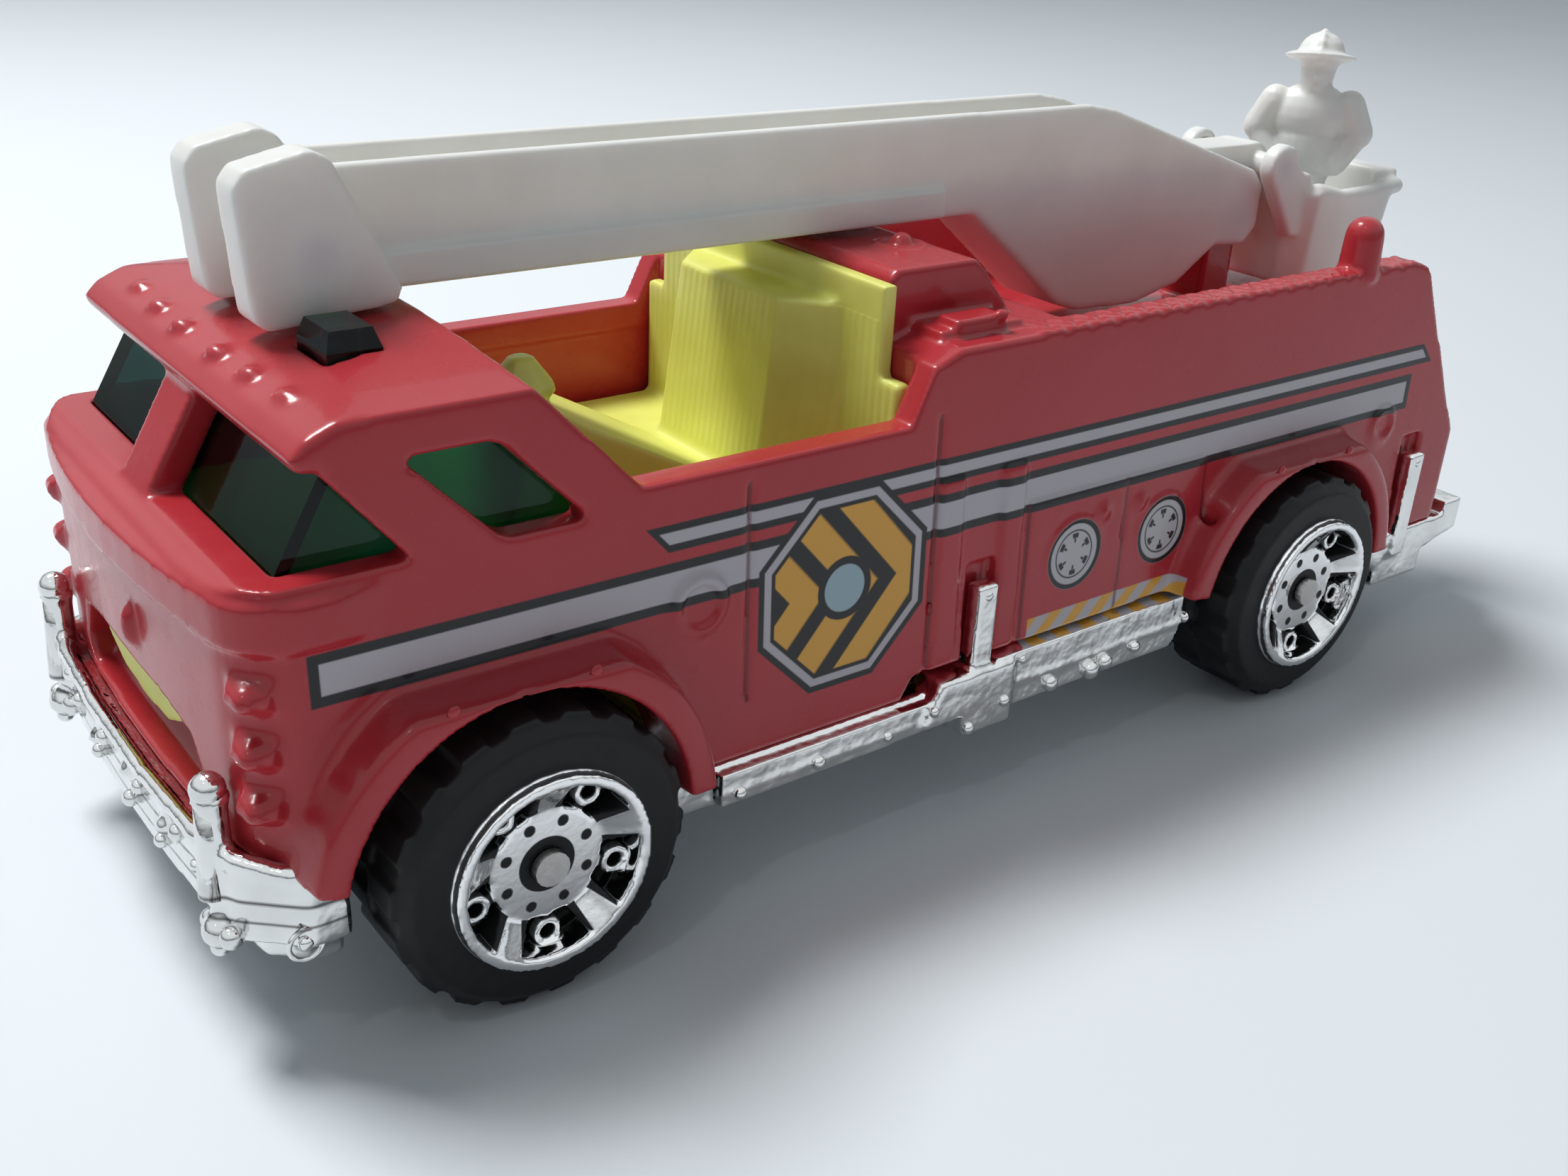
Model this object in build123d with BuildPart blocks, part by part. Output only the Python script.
from build123d import *

import os

os.makedirs("parts", exist_ok=True)

# Pocket-size die-cast toy fire engine with an open crew bay and a folding snorkel arm.
# Millimetres. +X is forward, +Y is the engine's left, +Z is up. The origin lies on the
# ground under the middle of the length, MID_AXLES_X behind the middle of the wheelbase.

# ---------------------------------------------------------------- wheels and axles
WHEELBASE = 44.0
MID_AXLES_X = 3.0
TYRE_R = 6.0
TYRE_OUT_Y = 13.7  # outer shoulder of the tread
TYRE_WIDTH = 4.8
SHOULDER = 0.45
HUB_FACE_Y = 14.2  # bright rim face, which stands proud of the tyre
RIM_R = 3.96
RIM_LIP = 0.35  # width of the outer rim ring
DISH_DEPTH = 0.85
POCKET_DEPTH = 0.9  # pockets between the spokes, below the dish
HUB_RING_R = 2.05
SPOKES = 5
SPOKE_W = 1.35
RIM_SIDES = 28  # flats round the rim and the hub ring
LUGS = 18
LUG_H = 0.22
AXLE_R = 0.55
AXLE_HEAD_R = 0.7
AXLE_HEAD_T = 0.35
SHAFT_FIT = 0.06  # radial running clearance
SEAT_GAP = 0.05  # between parts that are fitted into each other
PIN_SIDES = 16  # flats round shafts and pins, which are seen only from their ends

FRONT_X = MID_AXLES_X + WHEELBASE / 2
REAR_X = MID_AXLES_X - WHEELBASE / 2
TYRE_IN_Y = TYRE_OUT_Y - TYRE_WIDTH
AXLE_Z = TYRE_R
DISH_Y = HUB_FACE_Y - DISH_DEPTH

# ---------------------------------------------------------------- body casting
WALL = 1.2
NOSE_X = 35.0
NOSE_BOW = 0.7
REAR_TOP_X = -28.9
REAR_LOW_X = -34.6  # the tail slopes out to this
SILL_Z = 6.2  # lower edge of the body sides
LOCKER_SILL_Z = 7.2  # lower edge below the lockers
DOOR_REAR_X = 5.9
NOSE_SILL_Z = 7.85  # lower edge at the nose, above the bumper
BUMPER_END_X = 31.7  # where the bumper ends beside the front wheels
SIDE_Y_LOW = 11.4
SIDE_Y_TOP = 10.8
DECK_Z = 21.45
BAY_WALL_Z = 18.6
BELT_Z = 17.6
BELT_H = 1.9
BELT_OUT = 0.55  # how far the belt stands proud of the nose
BELT_HALF_W = 11.3
ROOF_Z = 23.9
ROOF_CROWN = 1.0
VISOR_X = 32.2
VISOR_CORNER_R = 3.5
VISOR_Z = 21.4
ROOF_REAR_X = 24.3
SLOPE_TOP_X = 23.7
SLOPE_LOW_X = 19.5
BAY_REAR_X = 6.8
BAY_HALF_W = 9.65
WELL_HALF_W = 9.2
WELL_FLOOR_Z = 17.6
WELL_FRONT_X = -3.0
CABINET_FRONT_X = 5.5
CABINET_REAR_X = 0.4
CABINET_HALF_W = 7.5
CABINET_Z = 24.0
LOCKER_FRONT_X = 4.3
LOCKER_L = 4.6
LOCKER_Z = 21.8
ARCH_R = 6.9
ARCH_LEAD = 0.4  # the arches lie this far ahead of the axles
ARCH_LIP_Y = 13.1
ARCH_LIP_T = 1.6
ARCH_TOP_Z = 13.4  # the flares are cut off below the side bands
ARCH_FLARE = 9  # degrees
NOSE_CORNER_R = 3.0
TAIL_CORNER_R = 1.6
PILLAR_HALF_W = 1.4  # post between the two windscreen panes
WINDOW_Z0 = 17.85
WINDOW_Z1 = 21.35
LIGHT_X = 28.0
LIGHT_Y = 5.0
LIGHT_L = 2.1
LIGHT_W = 2.7
LIGHT_H = 0.9
SEAM_W = 0.35
SEAM_D = 0.35
GRAB_W = 1.2
GRAB_X = 2.3  # bright grab bars beside the lockers and at the tail
TAIL_GRAB_X = -29.9
GRAB_TOP_Z = 10.9
POST_REAR_X = -23.4
POST_TOP_Z = 23.7

BODY_SIDE = [
    (NOSE_X, 0),
    (NOSE_X, BELT_Z - 0.3),
    (NOSE_X - 0.3, BELT_Z),
    (NOSE_X - 0.9, BELT_Z + 0.15),
    (VISOR_X - 0.2, VISOR_Z),
    (VISOR_X, 21.9),
    (VISOR_X - 0.6, 22.5),
    (VISOR_X - 1.9, 23.05),
    (VISOR_X - 4.8, 23.6),
    (ROOF_REAR_X, ROOF_Z),
    (SLOPE_TOP_X, 22.9),
    (SLOPE_LOW_X, BAY_WALL_Z),
    (BAY_REAR_X, BAY_WALL_Z),
    (BAY_REAR_X - 1.1, 20.9),
    (BAY_REAR_X - 2.6, DECK_Z),
    (REAR_TOP_X + 1.3, DECK_Z),
    (REAR_TOP_X + 0.3, 21.1),
    (REAR_TOP_X, 20.5),
    (REAR_LOW_X, 10.0),
    (REAR_LOW_X, 0),
]


def body_form(inset):
    """The casting's outside, or a form nested in it: plan, side and end profiles crossed."""
    with BuildPart() as form:
        with BuildSketch() as outline:
            with BuildLine():
                ThreePointArc((NOSE_X - NOSE_BOW, -SIDE_Y_LOW), (NOSE_X, 0), (NOSE_X - NOSE_BOW, SIDE_Y_LOW))
                Polyline((NOSE_X - NOSE_BOW, SIDE_Y_LOW), (REAR_LOW_X, SIDE_Y_LOW),
                         (REAR_LOW_X, -SIDE_Y_LOW), (NOSE_X - NOSE_BOW, -SIDE_Y_LOW))
            make_face()
            fillet(outline.vertices().sort_by(Axis.X)[:2], TAIL_CORNER_R)
            fillet(outline.vertices().sort_by(Axis.X)[-2:], NOSE_CORNER_R)
            if inset:
                offset(amount=-inset, mode=Mode.REPLACE)
        extrude(amount=ROOF_Z + 1)
        with BuildSketch(Plane.XZ):
            Polygon(*BODY_SIDE, align=None)
            if inset:
                offset(amount=-inset, mode=Mode.REPLACE, kind=Kind.INTERSECTION)
        extrude(amount=20, both=True, mode=Mode.INTERSECT)
        with BuildSketch(Plane.YZ):
            with BuildLine():
                ThreePointArc((-SIDE_Y_TOP, ROOF_Z - ROOF_CROWN), (0, ROOF_Z), (SIDE_Y_TOP, ROOF_Z - ROOF_CROWN))
                Polyline((SIDE_Y_TOP, ROOF_Z - ROOF_CROWN), (SIDE_Y_LOW, SILL_Z), (SIDE_Y_LOW, 0),
                         (-SIDE_Y_LOW, 0), (-SIDE_Y_LOW, SILL_Z), (-SIDE_Y_TOP, ROOF_Z - ROOF_CROWN))
            make_face()
            if inset:
                offset(amount=-inset, mode=Mode.REPLACE, kind=Kind.INTERSECTION)
        extrude(amount=40, both=True, mode=Mode.INTERSECT)
        # round front corners of the visor and roof
        with BuildSketch(Plane.XY.offset(VISOR_Z - inset)):
            Rectangle(20, 60, align=(Align.MIN, Align.CENTER))
            with Locations((0, 0)):
                RectangleRounded(2 * (VISOR_X + 0.6 - inset), 2 * (SIDE_Y_TOP + 0.2 - inset),
                                 VISOR_CORNER_R - inset, mode=Mode.SUBTRACT)
        extrude(amount=20, mode=Mode.SUBTRACT)
    return form.part


def bore(radius):
    """Outline of a hole that a shaft or pin of this radius turns in."""
    RegularPolygon(radius + SHAFT_FIT, PIN_SIDES, major_radius=False)


def ball(x, y, z, radius):
    """A small round end, as two tapered octagons."""
    with BuildPart() as shape:
        for up in (1, -1):
            with BuildSketch(Plane((x, y, z), x_dir=(1, 0, 0), z_dir=(0, 0, up))):
                RegularPolygon(radius, 8)
            extrude(amount=radius * 0.85, taper=36)
    return shape.part


def peg(x, y, z0, z1, radius):
    """An upright octagonal post with a tapered round head."""
    with BuildPart() as shape:
        with BuildSketch(Plane.XY.offset(z0)):
            with Locations((x, y)):
                RegularPolygon(radius, 8)
        extrude(amount=z1 - z0 - radius)
        add(ball(x, y, z1 - radius, radius))
    return shape.part


SIDE_WINDOW = [(25.05, WINDOW_Z0), (21.65, WINDOW_Z0), (25.1, WINDOW_Z1), (28.6, WINDOW_Z1)]
# each windscreen pane runs round the corner and ends on a line that leans with the side windows
SCREEN = [(28.4, WINDOW_Z0), (NOSE_X + 5, WINDOW_Z0), (NOSE_X + 5, WINDOW_Z1), (31.3, WINDOW_Z1)]
MOUTH = [(6.9, 9.1), (6.0, 10.9), (3.0, 11.35), (-3.0, 11.35), (-6.0, 10.9), (-6.9, 9.1), (-6.4, 8.1), (6.4, 8.1)]
# door and locker seams: x, low z, high z
SEAMS = [
    (14.8, 8.6, 17.9),
    (5.2, 7.2, 18.9),
    (-0.3, 6.5, 13.9),
    (-6.6, 6.5, 13.9),
    (-12.2, 6.5, 13.9),
]
RIB_Z = [14.2, 12.1, 10.0]  # ribs on the nose corners
NOSE_RIB_R = 0.6

# pivot of the arm, in the well
PIVOT_X = -23.6
PIVOT_Z = 22.2
PIVOT_R = 1.1
LUG_R = 1.25
BOOM_HALF_W = 2.05
BOOM_WALL = 0.6
LUG_SIDE_GAP = 0.15
PIN_SKIN = 0.2  # plastic left over the ends of the arm's pins
INNER_HALF_W = BOOM_HALF_W - BOOM_WALL

with BuildPart() as body:
    add(body_form(0))
    # belt round the nose
    with BuildPart(mode=Mode.PRIVATE) as belt:
        with BuildSketch(Plane.XY.offset(BELT_Z - BELT_H)) as belt_plan:
            with BuildLine():
                ThreePointArc((NOSE_X - NOSE_BOW, -BELT_HALF_W), (NOSE_X + BELT_OUT, 0),
                              (NOSE_X - NOSE_BOW, BELT_HALF_W))
                Polyline((NOSE_X - NOSE_BOW, BELT_HALF_W), (NOSE_X - 3.7, BELT_HALF_W), (NOSE_X - 7, SIDE_Y_TOP),
                         (NOSE_X - 7, -SIDE_Y_TOP), (NOSE_X - 3.7, -BELT_HALF_W),
                         (NOSE_X - NOSE_BOW, -BELT_HALF_W))
            make_face()
            fillet(belt_plan.vertices().sort_by(Axis.X)[-2:], NOSE_CORNER_R - 0.5)
        extrude(amount=BELT_H - 0.25)
    add(belt.part)
    # short ribs that lie across the nose corners
    for side in (1, -1):
        for z in RIB_Z:
            with BuildSketch(Plane((NOSE_X - 1.1, side * (SIDE_Y_LOW - 1.1), z), x_dir=(0, 0, 1),
                                   z_dir=(-1, side, 0))):
                RegularPolygon(NOSE_RIB_R, 8)
            extrude(amount=0.8, both=True)
    # cab, bay and rear body are one hollow; below the decks it runs the whole length
    with BuildPart(mode=Mode.PRIVATE) as cavity:
        add(body_form(WALL))
        with Locations((BAY_REAR_X - WALL, 0, WELL_FLOOR_Z - WALL)):
            Box(60, 40, 20, align=(Align.MAX, Align.CENTER, Align.MIN), mode=Mode.SUBTRACT)
    add(cavity.part, mode=Mode.SUBTRACT)
    with Locations((SLOPE_TOP_X, 0, BAY_WALL_Z - 2 * WALL)):
        Box(SLOPE_TOP_X - BAY_REAR_X + WALL, 2 * BAY_HALF_W, 20,
            align=(Align.MAX, Align.CENTER, Align.MIN), mode=Mode.SUBTRACT)
    # well behind the cabinet, open at the tail for the bucket
    with Locations((WELL_FRONT_X, 0, WELL_FLOOR_Z)):
        Box(40, 2 * WELL_HALF_W, 10, align=(Align.MAX, Align.CENTER, Align.MIN), mode=Mode.SUBTRACT)
    # cabinet behind the seats, with a locker on each side of it
    with BuildSketch(Plane.XZ):
        Polygon((CABINET_FRONT_X, WELL_FLOOR_Z - WALL), (CABINET_FRONT_X, CABINET_Z - 0.4),
                (CABINET_FRONT_X - 0.4, CABINET_Z), (CABINET_REAR_X + 0.4, CABINET_Z),
                (CABINET_REAR_X, CABINET_Z - 0.3), (WELL_FRONT_X, 19.8),
                (WELL_FRONT_X, WELL_FLOOR_Z - WALL), align=None)
    extrude(amount=CABINET_HALF_W, both=True)
    for side in (1, -1):
        with Locations((LOCKER_FRONT_X, side * CABINET_HALF_W, WELL_FLOOR_Z - WALL)):
            Box(LOCKER_L, 4.0, LOCKER_Z - WELL_FLOOR_Z + WALL, align=(Align.MAX, Align.CENTER, Align.MIN))
    # arches with flared lips
    for x in (FRONT_X, REAR_X):
        for side in (1, -1):
            with BuildSketch(Plane.XZ.offset(-side * (SIDE_Y_LOW - 0.8))):
                with Locations((x + ARCH_LEAD, AXLE_Z)):
                    Circle(ARCH_R + ARCH_LIP_T)
                    Rectangle(40, ARCH_TOP_Z - AXLE_Z, align=(Align.CENTER, Align.MIN), mode=Mode.INTERSECT)
            extrude(amount=-side * (ARCH_LIP_Y - SIDE_Y_LOW + 0.8), taper=ARCH_FLARE)
        with BuildSketch(Plane.XZ):
            with Locations((x + ARCH_LEAD, AXLE_Z)):
                Circle(ARCH_R)
        extrude(amount=20, both=True, mode=Mode.SUBTRACT)
    # lower edge, which rises to the nose
    with BuildSketch(Plane.XZ):
        Polygon((-60, -20), (60, -20), (60, NOSE_SILL_Z), (NOSE_X, NOSE_SILL_Z), (BUMPER_END_X, NOSE_SILL_Z - 0.9),
                (BUMPER_END_X, SILL_Z), (DOOR_REAR_X + 0.6, SILL_Z), (DOOR_REAR_X, LOCKER_SILL_Z),
                (REAR_X, LOCKER_SILL_Z), (REAR_X, SILL_Z), (-60, SILL_Z), align=None)
    extrude(amount=20, both=True, mode=Mode.SUBTRACT)
    # windows
    with BuildSketch(Plane.XZ) as side_window:
        Polygon(*SIDE_WINDOW, align=None)
        chamfer(side_window.vertices(), 0.3)
    extrude(amount=20, both=True, mode=Mode.SUBTRACT)
    for side in (1, -1):
        with BuildSketch(Plane.XZ.offset(-side * PILLAR_HALF_W)):
            Polygon(*SCREEN, align=None)
        extrude(amount=-side * 20, mode=Mode.SUBTRACT)
    # roof lights come through square holes
    with Locations((LIGHT_X, LIGHT_Y, ROOF_Z), (LIGHT_X, -LIGHT_Y, ROOF_Z)):
        Box(LIGHT_L, LIGHT_W, 5, mode=Mode.SUBTRACT)
    # grille mouth with a sloped lower shelf
    with BuildSketch(Plane.YZ.offset(NOSE_X - 3)):
        Polygon(*MOUTH, align=None)
    extrude(amount=8, mode=Mode.SUBTRACT)
    with BuildSketch(Plane.XZ):
        Polygon((NOSE_X - NOSE_BOW, NOSE_SILL_Z), (NOSE_X - NOSE_BOW - 1.6, 9.3),
                (NOSE_X - NOSE_BOW - 1.6, NOSE_SILL_Z), align=None)
    extrude(amount=7.2, both=True)
    # door and locker seams
    for x, low, high in SEAMS:
        for side in (1, -1):
            with Locations((x, side * SIDE_Y_LOW, (low + high) / 2)):
                Box(SEAM_W, 2 * (SIDE_Y_LOW - SIDE_Y_TOP) + 2 * SEAM_D, high - low, mode=Mode.SUBTRACT)
    # recesses for the bright grab posts
    for x in (GRAB_X, TAIL_GRAB_X):
        for side in (1, -1):
            with Locations((x, side * SIDE_Y_LOW, 0)):
                Box(GRAB_W + 0.5, 1.3, GRAB_TOP_Z + 0.9, align=(Align.CENTER, Align.CENTER, Align.MIN),
                    mode=Mode.SUBTRACT)
    # lug in the well that carries the arm's pivot pins
    with BuildSketch(Plane.XZ):
        with Locations((PIVOT_X, PIVOT_Z)):
            RegularPolygon(LUG_R, PIN_SIDES)
        with Locations((PIVOT_X, WELL_FLOOR_Z - 0.5)):
            Rectangle(2 * LUG_R - 0.1, PIVOT_Z - WELL_FLOOR_Z + 0.5, align=(Align.CENTER, Align.MIN))
    extrude(amount=INNER_HALF_W - LUG_SIDE_GAP, both=True)
    with BuildSketch(Plane.XZ):
        with Locations((PIVOT_X, PIVOT_Z)):
            RegularPolygon(PIVOT_R, PIN_SIDES)
    extrude(amount=BOOM_HALF_W - PIN_SKIN - SEAT_GAP, both=True)
    # posts on the rear deck corners
    for side in (1, -1):
        add(peg(POST_REAR_X, side * 10.0, DECK_Z - 0.2, POST_TOP_Z, 0.8))
body.part.label = "body_casting"
export_step(body.part, "parts/body_casting.step")

# ---------------------------------------------------------------- chrome base
BASE_Z0 = 4.2
BASE_PLATE_Z = 5.3
BUMPER_X = 35.7
TAILBOARD_X = -36.3
BUMPER_HALF_W = 11.9
SILL_OUT_Y = 11.9
POST_Y = 9.1
POST_R = 0.6
BALL_R = 0.8
STUD_R = 0.45
POST_TOP = 10.9
LAMP_Y = 9.3
LAMP_Z = 5.1
LAMP_R = 0.9

NOTCH_IN_Y = TYRE_IN_Y - 0.4
# side view of each length of sill, and how far out it stands
SILLS = [
    ([(16.4, 4.3), (16.4, 6.0), (5.0, 6.0), (5.6, 4.4)], SILL_OUT_Y),
    ([(-11.5, 5.0), (-11.5, 7.1), (1.4, 7.1), (1.4, 4.2), (-10.9, 4.2)], SILL_OUT_Y),
    ([(5.8, 5.0), (4.8, 6.9), (0.2, 6.9), (0.2, 4.7), (5.6, 4.6)], SILL_OUT_Y + 0.25),
    ([(3.3, 3.6), (3.5, 4.9), (0.2, 4.9), (0.2, 3.6)], SILL_OUT_Y + 0.25),
]
with BuildPart() as base:
    with BuildSketch(Plane.XY.offset(BASE_Z0)):
        with Locations((REAR_LOW_X + 0.5, 0)):
            Rectangle(NOSE_X - 2.0 - REAR_LOW_X, 2 * (SIDE_Y_LOW - 0.1), align=(Align.MIN, Align.CENTER))
        for side in (1, -1):
            with Locations((FRONT_X, side * NOTCH_IN_Y), (REAR_X, side * NOTCH_IN_Y)):
                Rectangle(2 * ARCH_R, 12, align=(Align.CENTER, Align.MIN if side > 0 else Align.MAX),
                          mode=Mode.SUBTRACT)
    extrude(amount=SILL_Z - BASE_Z0 - SEAT_GAP)
    # tray floor
    with BuildSketch(Plane.XY.offset(BASE_PLATE_Z)):
        with Locations((REAR_LOW_X + 2.0, 0)):
            Rectangle(NOSE_X - 4.5 - REAR_LOW_X, 2 * (NOTCH_IN_Y - 1.2), align=(Align.MIN, Align.CENTER))
    extrude(amount=4, mode=Mode.SUBTRACT)
    # axle saddles
    for x in (FRONT_X, REAR_X):
        for side in (1, -1):
            with Locations((x, side * (NOTCH_IN_Y - 1.2), BASE_PLATE_Z - 0.2)):
                Box(3.4, 2.4, 3.2, align=(Align.CENTER, Align.CENTER, Align.MIN))
    # front bumper: a ledge that wraps the corners, over a deeper and rounder apron
    for inset, z0, z1 in ((0.0, 6.5, NOSE_SILL_Z + 0.5), (0.35, 6.1, 6.6), (0.0, 4.7, 6.2), (0.9, 3.4, 4.8)):
        with BuildSketch(Plane.XY.offset(z0)) as ledge:
            with BuildLine():
                ThreePointArc((BUMPER_X - inset - NOSE_BOW, -BUMPER_HALF_W + inset), (BUMPER_X - inset, 0),
                              (BUMPER_X - inset - NOSE_BOW, BUMPER_HALF_W - inset))
                Polyline((BUMPER_X - inset - NOSE_BOW, BUMPER_HALF_W - inset),
                         (BUMPER_END_X, BUMPER_HALF_W - inset), (BUMPER_END_X, inset - BUMPER_HALF_W),
                         (BUMPER_X - inset - NOSE_BOW, inset - BUMPER_HALF_W))
            make_face()
            chamfer(ledge.vertices().sort_by(Axis.X)[-2:], (NOSE_CORNER_R - inset) * 0.6)
        extrude(amount=z1 - z0)
    with BuildSketch(Plane.XZ):
        Polygon((BUMPER_END_X - 0.5, NOSE_SILL_Z - 0.9 - SEAT_GAP), (BUMPER_END_X, NOSE_SILL_Z - 0.9 - SEAT_GAP),
                (NOSE_X, NOSE_SILL_Z - SEAT_GAP), (NOSE_X + 5, NOSE_SILL_Z + 0.3), (NOSE_X + 5, 20),
                (BUMPER_END_X - 0.5, 20), align=None)
    extrude(amount=20, both=True, mode=Mode.SUBTRACT)
    for side in (1, -1):
        add(peg(NOSE_X + 0.25, side * POST_Y, 6.0, POST_TOP, POST_R))
        add(ball(NOSE_X + 0.25, side * POST_Y, POST_TOP - BALL_R, BALL_R))
        add(ball(NOSE_X + 0.4, side * LAMP_Y, LAMP_Z, LAMP_R))
    for y, z in ((0.6, 6.9), (-3.6, 6.2), (4.6, 6.6)):
        add(ball(NOSE_X + 0.75, y, z, STUD_R))
    # side sills with a step block in the middle
    for side in (1, -1):
        for outline, out in SILLS:
            with BuildSketch(Plane.XZ.offset(-side * (SIDE_Y_LOW - 0.9))):
                Polygon(*outline, align=None)
            extrude(amount=-side * (out - SIDE_Y_LOW + 0.9), taper=4)
        for x in (GRAB_X, TAIL_GRAB_X):
            with Locations((x, side * (SIDE_Y_LOW + 0.05), 4.8)):
                Box(GRAB_W, 0.9, GRAB_TOP_Z - 4.8, align=(Align.CENTER, Align.CENTER, Align.MIN))
    # tail board, with a bright post in each rear corner
    with BuildSketch(Plane.XZ):
        Polygon((-28.6, 3.0), (-28.6, SILL_Z - SEAT_GAP), (REAR_LOW_X - 0.1, SILL_Z - SEAT_GAP),
                (REAR_LOW_X - 0.1, 6.9), (TAILBOARD_X, 6.9), (TAILBOARD_X, 5.0), (-33.0, 4.4),
                (-33.0, 3.0), align=None)
    extrude(amount=BUMPER_HALF_W - 0.4, both=True)
    for x in (FRONT_X, REAR_X):
        with BuildSketch(Plane.XZ):
            with Locations((x, AXLE_Z)):
                bore(AXLE_R)
        extrude(amount=20, both=True, mode=Mode.SUBTRACT)
base.part.label = "chrome_base"
export_step(base.part, "parts/chrome_base.step")

# ---------------------------------------------------------------- yellow interior
CABIN_FLOOR_Z = 14.2
FLOOR_T = 1.0
BULKHEAD_Z = 23.6
BULKHEAD_STEP_Z = 19.8
BULKHEAD_HALF_W = 8.1
BULKHEAD_LOW_HALF_W = 9.4
BULKHEAD_T = 0.7
GRILLE_X = 31.0
# central pedestal in front of the bulkhead
PEDESTAL_T = 2.9
PEDESTAL_HALF_W = 3.9
PEDESTAL_REAR_HALF_W = 7.3
PEDESTAL_Z = 22.3
SEAT_FRONT_X = 22.0
SEAT_REAR_X = 9.4
SEAT_HALF_W = 4.6
SEAT_HEAD_R = 1.5

with BuildPart() as interior:
    with Locations((BAY_REAR_X - WALL + SEAT_GAP, 0, CABIN_FLOOR_Z - FLOOR_T)):
        Box(NOSE_X - 4.5 - BAY_REAR_X + WALL, 2 * BULKHEAD_LOW_HALF_W, FLOOR_T,
            align=(Align.MIN, Align.CENTER, Align.MIN))
    with Locations((12.0, 0, BASE_PLATE_Z)):
        Box(8.0, 11.0, CABIN_FLOOR_Z - BASE_PLATE_Z - 0.5, align=(Align.CENTER, Align.CENTER, Align.MIN))
    # bulkhead with stepped shoulders and upright ribs
    with BuildSketch(Plane.YZ.offset(BAY_REAR_X - WALL + SEAT_GAP)):
        with Locations((0, CABIN_FLOOR_Z - FLOOR_T)):
            Rectangle(2 * BULKHEAD_LOW_HALF_W, BULKHEAD_STEP_Z - CABIN_FLOOR_Z + FLOOR_T,
                      align=(Align.CENTER, Align.MIN))
        with Locations((0, BULKHEAD_STEP_Z - 1)):
            Rectangle(2 * BULKHEAD_HALF_W, BULKHEAD_Z - BULKHEAD_STEP_Z + 1, align=(Align.CENTER, Align.MIN))
    extrude(amount=BULKHEAD_T)
    with BuildSketch(Plane.XY.offset(CABIN_FLOOR_Z - 0.2)):
        with Locations((BAY_REAR_X - WALL + SEAT_GAP, 0)):
            Polygon((0, -PEDESTAL_REAR_HALF_W), (BULKHEAD_T + PEDESTAL_T, -PEDESTAL_HALF_W),
                    (BULKHEAD_T + PEDESTAL_T, PEDESTAL_HALF_W), (0, PEDESTAL_REAR_HALF_W), align=None)
    extrude(amount=PEDESTAL_Z - CABIN_FLOOR_Z + 0.2, taper=6)
    # seat block, engine cover with a slanted back, and its round head
    with BuildSketch(Plane.XZ):
        Polygon((SEAT_REAR_X, CABIN_FLOOR_Z - 0.2), (17.6, 18.4), (19.2, 19.4), (20.8, 18.5),
                (SEAT_FRONT_X, CABIN_FLOOR_Z - 0.2), align=None)
    extrude(amount=SEAT_HALF_W, both=True)
    add(ball(19.0, 1.0, 19.4, SEAT_HEAD_R))
    # backing of the grille mouth
    with Locations((GRILLE_X - 1.0, 0, BASE_PLATE_Z + 2.8)):
        Box(1.0, 14.6, CABIN_FLOOR_Z - BASE_PLATE_Z - 3.2, align=(Align.MIN, Align.CENTER, Align.MIN))
interior.part.label = "interior"
export_step(interior.part, "parts/interior.step")

# ---------------------------------------------------------------- tinted windows
GLASS_T = 0.7
with BuildPart() as windows:
    add(body_form(WALL + SEAT_GAP))
    add(body_form(WALL + SEAT_GAP + GLASS_T), mode=Mode.SUBTRACT)
    with BuildSketch(Plane.XZ):
        Polygon((20.45, 16.7), (NOSE_X + 5, 16.7), (NOSE_X + 5, 30), (27.0, 30), (27.0, 23.4), align=None)
    extrude(amount=20, both=True, mode=Mode.INTERSECT)
    for side in (1, -1):
        with BuildSketch(Plane.XY.offset(22.0)):
            with Locations((LIGHT_X, side * LIGHT_Y)):
                Rectangle(LIGHT_L - 2 * SEAT_GAP, LIGHT_W - 2 * SEAT_GAP)
        extrude(amount=ROOF_Z - 22.3)
        with BuildSketch(Plane.XY.offset(ROOF_Z - 0.3)):
            with Locations((LIGHT_X, side * LIGHT_Y)):
                Rectangle(LIGHT_L - 2 * SEAT_GAP, LIGHT_W - 2 * SEAT_GAP)
        extrude(amount=LIGHT_H - 0.2, taper=18)
windows.part.label = "windows"
export_step(windows.part, "parts/windows.step")

# ---------------------------------------------------------------- axles and wheels
AXLES = [
    # name, axle x
    ("front_axle", FRONT_X),
    ("rear_axle", REAR_X),
]
AXLE_END_Y = DISH_Y + 0.1
for name, x in AXLES:
    with BuildPart() as axle:
        with BuildSketch(Plane.XZ):
            with Locations((x, AXLE_Z)):
                RegularPolygon(AXLE_R, PIN_SIDES)
        extrude(amount=AXLE_END_Y, both=True)
        for side in (1, -1):
            with BuildSketch(Plane.XZ.offset(-side * AXLE_END_Y)):
                with Locations((x, AXLE_Z)):
                    RegularPolygon(AXLE_HEAD_R, PIN_SIDES)
            extrude(amount=-side * AXLE_HEAD_T)
    axle.part.label = name
    export_step(axle.part, f"parts/{name}.step")

WHEELS = [
    # name, axle x, side
    ("wheel_front_left", FRONT_X, 1),
    ("wheel_front_right", FRONT_X, -1),
    ("wheel_rear_left", REAR_X, 1),
    ("wheel_rear_right", REAR_X, -1),
]
PITCH = 360 / LUGS
ROOT_R = TYRE_R - LUG_H
TREAD_HALF_W = (TYRE_WIDTH - 2 * SHOULDER) / 2


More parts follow.
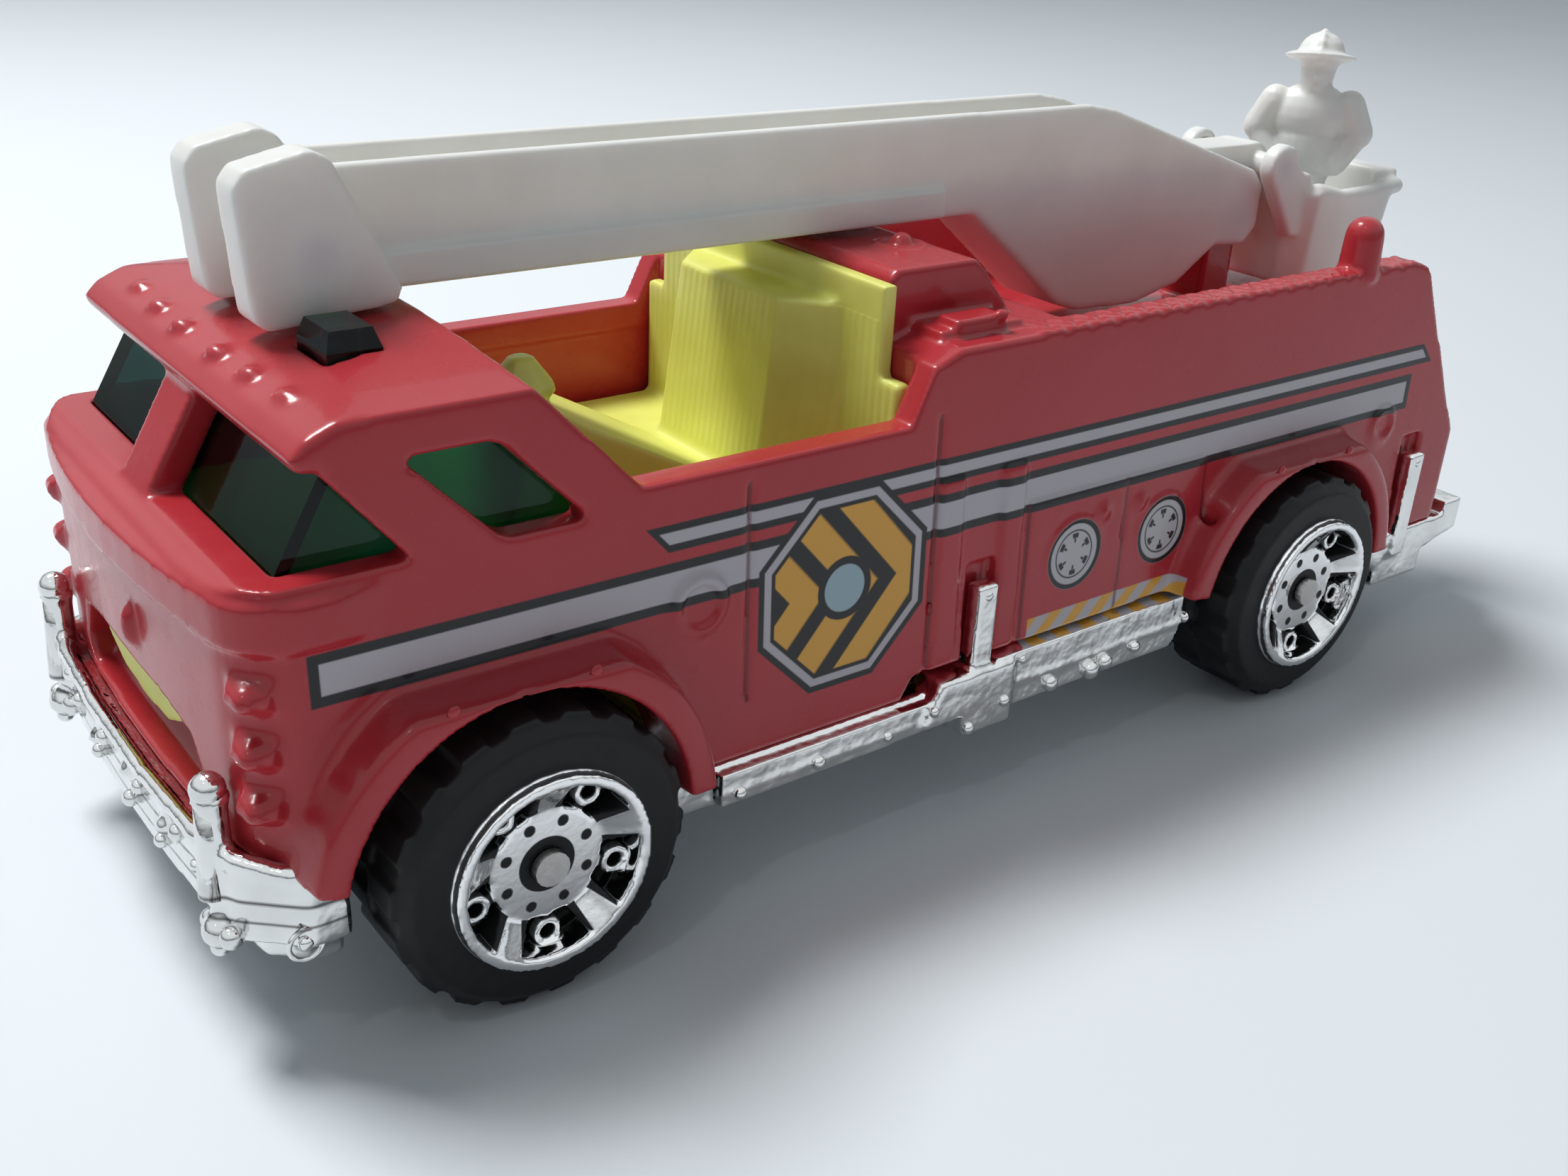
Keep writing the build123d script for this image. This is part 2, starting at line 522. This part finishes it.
def tread_ring(phase):
    """Outline of one row of lugs, as straight flats between the lugs' edges."""
    corners = []
    for k in range(LUGS):
        for share, radius in ((0.0, ROOT_R), (0.06, TYRE_R), (0.56, TYRE_R), (0.62, ROOT_R)):
            corners.append(Vector(radius, 0).rotate(Axis.Z, (k + share + phase) * PITCH))
    return corners


for name, x, side in WHEELS:
    hub_plane = Plane(origin=(x, 0, AXLE_Z), x_dir=(1, 0, 0), z_dir=(0, side, 0))
    with BuildPart() as wheel:
        for phase, y in ((0.0, TYRE_IN_Y + SHOULDER), (0.5, TYRE_IN_Y + SHOULDER + TREAD_HALF_W)):
            with BuildSketch(hub_plane.offset(y)):
                Polygon(*tread_ring(phase), align=None)
            extrude(amount=TREAD_HALF_W)
        with BuildSketch(hub_plane.offset(TYRE_IN_Y)):
            RegularPolygon(ROOT_R - SHOULDER, 2 * LUGS)
        extrude(amount=SHOULDER, taper=-45)
        with BuildSketch(hub_plane.offset(TYRE_OUT_Y - SHOULDER)):
            RegularPolygon(ROOT_R, 2 * LUGS)
        extrude(amount=SHOULDER, taper=45)
        # rim ring and dish
        with BuildSketch(hub_plane.offset(TYRE_OUT_Y - 0.1)):
            RegularPolygon(RIM_R, RIM_SIDES)
        extrude(amount=HUB_FACE_Y - TYRE_OUT_Y + 0.1)
        with BuildSketch(hub_plane.offset(HUB_FACE_Y)):
            RegularPolygon(RIM_R - RIM_LIP, RIM_SIDES)
        extrude(amount=-DISH_DEPTH, taper=55, mode=Mode.SUBTRACT)
        # pockets between the spokes
        with BuildSketch(hub_plane.offset(DISH_Y - POCKET_DEPTH)):
            RegularPolygon(RIM_R - RIM_LIP - 0.1, RIM_SIDES)
            RegularPolygon(HUB_RING_R, RIM_SIDES, mode=Mode.SUBTRACT)
            with PolarLocations(0, SPOKES, start_angle=90):
                with Locations((3.0, 0)):
                    Rectangle(6, SPOKE_W, mode=Mode.SUBTRACT)
        extrude(amount=4, mode=Mode.SUBTRACT)
        with BuildSketch(hub_plane):
            bore(AXLE_R)
        extrude(amount=20, mode=Mode.SUBTRACT)
    wheel.part.label = name
    export_step(wheel.part, f"parts/{name}.step")

# ---------------------------------------------------------------- lower boom
BOOM_Z0 = 24.3
BOOM_Z1 = 28.85
BOOM_FRONT_X = 27.0
ELBOW_X = 27.7
ELBOW_Z = 26.0
ELBOW_PIN_R = 0.75
CHEEK_OUT_Y = 3.2
RAIL_OUT = 0.35  # lengthwise rail along the foot of each side
RAIL_H = 1.3
ARM_CLEAR = 0.25  # between the nested upper boom and the channel

# outside and inside of the channel, from the front down to the bulge and up to the tail
BOOM_SIDE = [
    (BOOM_FRONT_X, BOOM_Z0),
    (BOOM_FRONT_X, BOOM_Z1),
    (-11.2, BOOM_Z1),
    (-13.0, 28.55),
    (-24.7, 24.75),
    (-25.5, 23.9),
    (-25.5, 21.6),
    (-24.6, 20.7),
    (-22.2, 20.9),
    (-19.5, 19.2),
    (-16.3, 18.5),
    (-12.0, 18.7),
    (-10.4, 19.2),
    (-4.1, BOOM_Z0),
]
BOOM_HOLLOW = [
    (BOOM_FRONT_X + 1, BOOM_Z0 + BOOM_WALL),
    (BOOM_FRONT_X + 1, 40),
    (-40, 40),
    (-40, 15),
    (-21.8, 15),
    (-21.8, 21.3),
    (-19.3, 19.8),
    (-16.3, 19.1),
    (-12.2, 19.3),
    (-10.7, 19.7),
    (-4.4, BOOM_Z0 + BOOM_WALL),
]
CHEEK_SIDE = [(30.6, 29.0), (27.3, 29.75), (24.5, 24.1), (30.2, 23.55)]
with BuildPart() as lower_boom:
    with BuildSketch(Plane.XZ):
        Polygon(*BOOM_SIDE, align=None)
    extrude(amount=BOOM_HALF_W, both=True)
    with Locations((BOOM_FRONT_X - 2, 0, BOOM_Z0 + 0.1)):
        Box(BOOM_FRONT_X, 2 * (BOOM_HALF_W + RAIL_OUT), RAIL_H, align=(Align.MAX, Align.CENTER, Align.MIN))
    with BuildSketch(Plane.XZ):
        Polygon(*BOOM_HOLLOW, align=None)
    extrude(amount=INNER_HALF_W, both=True, mode=Mode.SUBTRACT)
    for side in (1, -1):
        with BuildSketch(Plane.XZ.offset(-side * CHEEK_OUT_Y)) as cheek:
            Polygon(*CHEEK_SIDE, align=None)
            chamfer(cheek.vertices(), 0.5)
        extrude(amount=side * (CHEEK_OUT_Y - INNER_HALF_W))
    # blind holes for the pivot at the tail and for the elbow in the cheeks
    for x, z, radius, half_w in ((PIVOT_X, PIVOT_Z, PIVOT_R, BOOM_HALF_W), (ELBOW_X, ELBOW_Z, ELBOW_PIN_R, CHEEK_OUT_Y)):
        with BuildSketch(Plane.XZ):
            with Locations((x, z)):
                bore(radius)
        extrude(amount=half_w - PIN_SKIN, both=True, mode=Mode.SUBTRACT)
lower_boom.part.label = "lower_boom"
export_step(lower_boom.part, "parts/lower_boom.step")

# ---------------------------------------------------------------- upper boom
ARM_HALF_W = INNER_HALF_W - ARM_CLEAR
ARM_HALF_H = 0.95
BUCKET_PIN_X = -25.5
BUCKET_PIN_Z = 25.0
BUCKET_PIN_R = 0.6
EAR_IN_Y = 2.3
EAR_T = 1.0
with BuildPart() as upper_boom:
    with BuildSketch(Plane.XZ):
        with Locations((ELBOW_X, ELBOW_Z), (BUCKET_PIN_X, BUCKET_PIN_Z)):
            RegularPolygon(ARM_HALF_H + 0.1, PIN_SIDES)
        Polygon((ELBOW_X, ELBOW_Z + ARM_HALF_H), (BUCKET_PIN_X, BUCKET_PIN_Z + ARM_HALF_H),
                (BUCKET_PIN_X, BUCKET_PIN_Z - ARM_HALF_H), (-20.0, 25.1), (ELBOW_X, ELBOW_Z - ARM_HALF_H),
                align=None)
    extrude(amount=ARM_HALF_W, both=True)
    with BuildSketch(Plane.XZ):
        with Locations((ELBOW_X, ELBOW_Z)):
            RegularPolygon(ELBOW_PIN_R, PIN_SIDES)
    extrude(amount=CHEEK_OUT_Y - PIN_SKIN - SEAT_GAP, both=True)
    with BuildSketch(Plane.XZ):
        with Locations((BUCKET_PIN_X, BUCKET_PIN_Z)):
            RegularPolygon(BUCKET_PIN_R, PIN_SIDES)
    extrude(amount=EAR_IN_Y + EAR_T - PIN_SKIN - SEAT_GAP, both=True)
upper_boom.part.label = "upper_boom"
export_step(upper_boom.part, "parts/upper_boom.step")

# ---------------------------------------------------------------- bucket and figure
BUCKET_Z0 = 18.4
BUCKET_RIM_Z = 23.6
BUCKET_FRONT_X = -26.7
BUCKET_REAR_X = -36.0
BUCKET_HALF_W = 4.0
BUCKET_WALL = 0.8
BUCKET_TAPER = 6
BUCKET_CORNER = 1.3
BUCKET_DIP = 0.7  # the sides dip between the ears and the rear lip
EAR_R = 1.2
BUCKET_MID_X = (BUCKET_FRONT_X + BUCKET_REAR_X) / 2
BUCKET_L = BUCKET_FRONT_X - BUCKET_REAR_X
with BuildPart() as bucket:
    with BuildSketch(Plane.XY.offset(BUCKET_RIM_Z)) as rim:
        with Locations((BUCKET_MID_X, 0)):
            Rectangle(BUCKET_L, 2 * BUCKET_HALF_W)
        chamfer(rim.vertices(), BUCKET_CORNER)
    extrude(amount=BUCKET_Z0 - BUCKET_RIM_Z, taper=BUCKET_TAPER)
    # rolled lip along the tail and a raised front edge
    with Locations((BUCKET_REAR_X - 0.4, 0, BUCKET_RIM_Z - 0.9)):
        Box(2.0, 6.0, 1.5, align=(Align.MIN, Align.CENTER, Align.MIN))
    with Locations((BUCKET_FRONT_X, 0, BUCKET_RIM_Z - 0.9)):
        Box(1.2, 6.6, 1.9, align=(Align.MAX, Align.CENTER, Align.MIN))
    with BuildSketch(Plane.XY.offset(BUCKET_RIM_Z + 2)) as mouth:
        with Locations((BUCKET_MID_X, 0)):
            Rectangle(BUCKET_L - 2 * BUCKET_WALL, 2 * (BUCKET_HALF_W - BUCKET_WALL))
        chamfer(mouth.vertices(), BUCKET_CORNER * 0.6)
    extrude(amount=BUCKET_Z0 - BUCKET_RIM_Z - 2 + BUCKET_WALL, taper=BUCKET_TAPER, mode=Mode.SUBTRACT)
    with BuildSketch(Plane.XZ):
        Polygon((BUCKET_FRONT_X - 1.6, BUCKET_RIM_Z + 1), (BUCKET_FRONT_X - 2.6, BUCKET_RIM_Z - BUCKET_DIP),
                (BUCKET_REAR_X + 3.2, BUCKET_RIM_Z - BUCKET_DIP), (BUCKET_REAR_X + 1.6, BUCKET_RIM_Z + 1), align=None)
    extrude(amount=10, both=True, mode=Mode.SUBTRACT)
    # ears that clasp the pin, and run down into the front of the bucket
    for side in (1, -1):
        with BuildSketch(Plane.XZ.offset(-side * EAR_IN_Y)):
            with Locations((BUCKET_PIN_X, BUCKET_PIN_Z)):
                RegularPolygon(EAR_R, PIN_SIDES)
            Polygon((BUCKET_PIN_X, BUCKET_PIN_Z + EAR_R), (BUCKET_FRONT_X - 1.2, BUCKET_RIM_Z + 0.4),
                    (BUCKET_FRONT_X - 1.2, BUCKET_RIM_Z - 2.4), (BUCKET_FRONT_X - 0.1, BUCKET_RIM_Z - 2.4),
                    (BUCKET_PIN_X + 1.0, BUCKET_PIN_Z - EAR_R / 2), align=None)
        extrude(amount=-side * EAR_T)
    with BuildSketch(Plane.XZ):
        with Locations((BUCKET_PIN_X, BUCKET_PIN_Z)):
            bore(BUCKET_PIN_R)
    extrude(amount=EAR_IN_Y + EAR_T - PIN_SKIN, both=True, mode=Mode.SUBTRACT)
bucket.part.label = "bucket"
export_step(bucket.part, "parts/bucket.step")

FIGURE_X = BUCKET_MID_X
FIGURE_Z0 = BUCKET_Z0 + BUCKET_WALL
FIGURE_TURN = 35  # degrees
FIGURE_SIDES = 8
# radius and height above the bucket floor at the foot of each length, then its top radius
FIGURE_PROFILE = [
    (1.5, 0.0, 1.6),
    (1.6, 3.2, 1.9),
    (1.9, 5.2, 1.9),
    (1.9, 6.8, 0.9),
    (0.8, 8.3, 1.2),
    (1.35, 8.9, 1.45),
    (2.3, 10.4, 2.2),
    (1.6, 10.8, 1.3),
    (1.3, 11.9, 0.7),
]
FIGURE_TOP = 12.4
with BuildPart() as figure:
    tops = [row[1] for row in FIGURE_PROFILE[1:]] + [FIGURE_TOP]
    for (radius, foot, top_radius), top in zip(FIGURE_PROFILE, tops):
        with BuildSketch(Plane((FIGURE_X, 0, FIGURE_Z0 + foot))):
            RegularPolygon(radius, FIGURE_SIDES)
        with BuildSketch(Plane((FIGURE_X, 0, FIGURE_Z0 + top))):
            RegularPolygon(top_radius, FIGURE_SIDES)
        loft(ruled=True)
    # elbows stand out on both sides
    for side in (1, -1):
        out = Vector(0, side, 0).rotate(Axis.Z, FIGURE_TURN)
        with BuildSketch(Plane((FIGURE_X, 0, FIGURE_Z0 + 6.3), x_dir=(0, 0, 1), z_dir=(out.X, out.Y, -0.25))):
            RegularPolygon(1.5, FIGURE_SIDES)
        extrude(amount=3.4, taper=12)
figure.part.label = "bucket_figure"
export_step(figure.part, "parts/bucket_figure.step")
